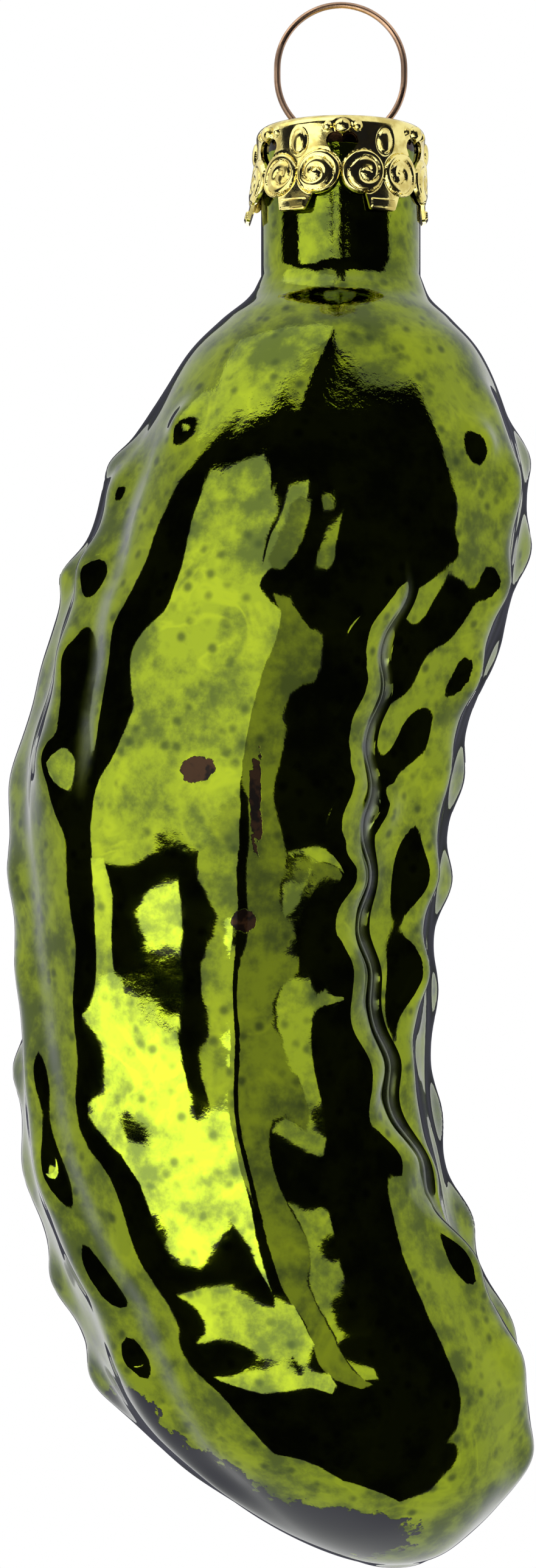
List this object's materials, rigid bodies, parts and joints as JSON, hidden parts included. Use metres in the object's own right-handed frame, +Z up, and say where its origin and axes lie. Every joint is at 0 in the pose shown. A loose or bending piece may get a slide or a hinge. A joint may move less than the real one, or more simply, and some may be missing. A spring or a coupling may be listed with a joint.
{
  "type": "pickle ornament",
  "caption": "Blown-glass gherkin with moulded knobs along its ribs, hung by a wire ring in a pressed crown cap over its neck.",
  "frame": {"origin": "hanging point: inside of the ring at its top", "axes": "+Z up along the neck, X across the ring's flat face with the gherkin's bow towards -X, -Y towards the picture's camera"},
  "size_m": [0.0362, 0.0306, 0.1077],
  "materials": {
    "wire": "spring wire with a worn rose-gold plating",
    "cap": "bright pressed sheet",
    "glass": "silvered inside, with a clear green lacquer outside, mottled and mirror bright"
  },
  "bodies": {
    "hanger": {"hanger_wire": "wire"},
    "cap": {"crown_cap": "cap"},
    "glass": {"glass_gherkin": "glass"}
  },
  "joints": [
    {"name": "cap_slide", "type": "slide", "parent": "hanger", "child": "cap", "axis": [0, 0, 1], "range_m": [0, 0.003]},
    {"name": "glass_pull_off", "type": "slide", "parent": "cap", "child": "glass", "axis": [0, 0, -1], "range_m": [0, 0.014]}
  ]
}
